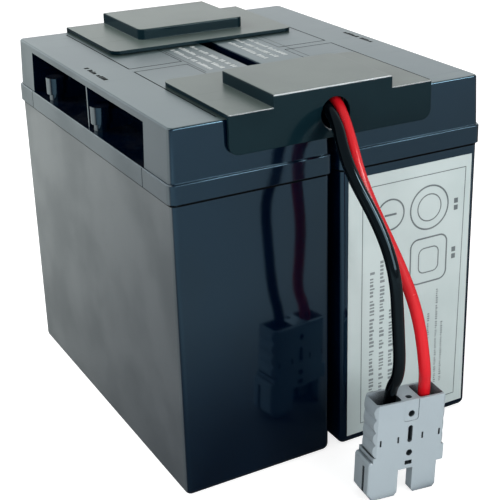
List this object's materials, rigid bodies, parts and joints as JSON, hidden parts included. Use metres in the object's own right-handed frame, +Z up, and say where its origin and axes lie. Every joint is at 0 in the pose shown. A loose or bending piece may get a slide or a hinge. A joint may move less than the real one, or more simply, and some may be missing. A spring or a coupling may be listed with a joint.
{
  "type": "ups battery cartridge",
  "caption": "Sealed lead-acid batteries side by side under black end caps, with a red and a black lead to a grey power connector.",
  "frame": {"origin": "on the floor, midway between the two batteries and midway along them", "axes": "+X across the pair from the left battery to the right one, +Y from the lead end to the link end, +Z up"},
  "size_m": [0.1536, 0.2315, 0.1742],
  "materials": {
    "case": "glossy black ABS",
    "lid": "satin to glossy black ABS",
    "plates": "matt lead plates and glass mat",
    "valve_rubber": "matt rubber",
    "resin": "potting resin",
    "fasteners": "zinc-plated steel",
    "terminal": "tin-plated brass",
    "adhesive": "acrylic adhesive pad",
    "foam": "closed-cell foam",
    "cap": "satin black ABS",
    "label": "coated paper",
    "connector": "satin grey polycarbonate",
    "plated_copper": "silver-plated copper",
    "red_insulation": "glossy red insulation",
    "black_insulation": "glossy black insulation"
  },
  "bodies": {
    "root": {"black_contact": "plated_copper", "black_contact_spring": "fasteners", "black_lead": "black_insulation", "black_lug": "plated_copper", "connector_housing": "connector", "foam_pad_lower": "foam", "foam_pad_upper": "foam", "front_cap": "cap", "front_cap_pads": "adhesive", "left_case": "case", "left_cell_1": "plates", "left_cell_2": "plates", "left_cell_3": "plates", "left_cell_4": "plates", "left_cell_5": "plates", "left_cell_6": "plates", "left_lid": "lid", "left_terminal_front": "terminal", "left_terminal_rear": "terminal", "left_terminal_seal_front": "resin", "left_terminal_seal_rear": "resin", "left_valve_caps": "valve_rubber", "left_vent_cover_front": "lid", "left_vent_cover_rear": "lid", "rating_label": "label", "rear_cap": "cap", "rear_cap_pads": "adhesive", "rear_link_bar": "plated_copper", "red_contact": "plated_copper", "red_contact_spring": "fasteners", "red_lead": "red_insulation", "red_lug": "plated_copper", "right_case": "case", "right_cell_1": "plates", "right_cell_2": "plates", "right_cell_3": "plates", "right_cell_4": "plates", "right_cell_5": "plates", "right_cell_6": "plates", "right_lid": "lid", "right_terminal_front": "terminal", "right_terminal_rear": "terminal", "right_terminal_seal_front": "resin", "right_terminal_seal_rear": "resin", "right_valve_caps": "valve_rubber", "right_vent_cover_front": "lid", "right_vent_cover_rear": "lid", "terminal_bolts": "fasteners", "terminal_nuts": "fasteners"}
  },
  "joints": []
}
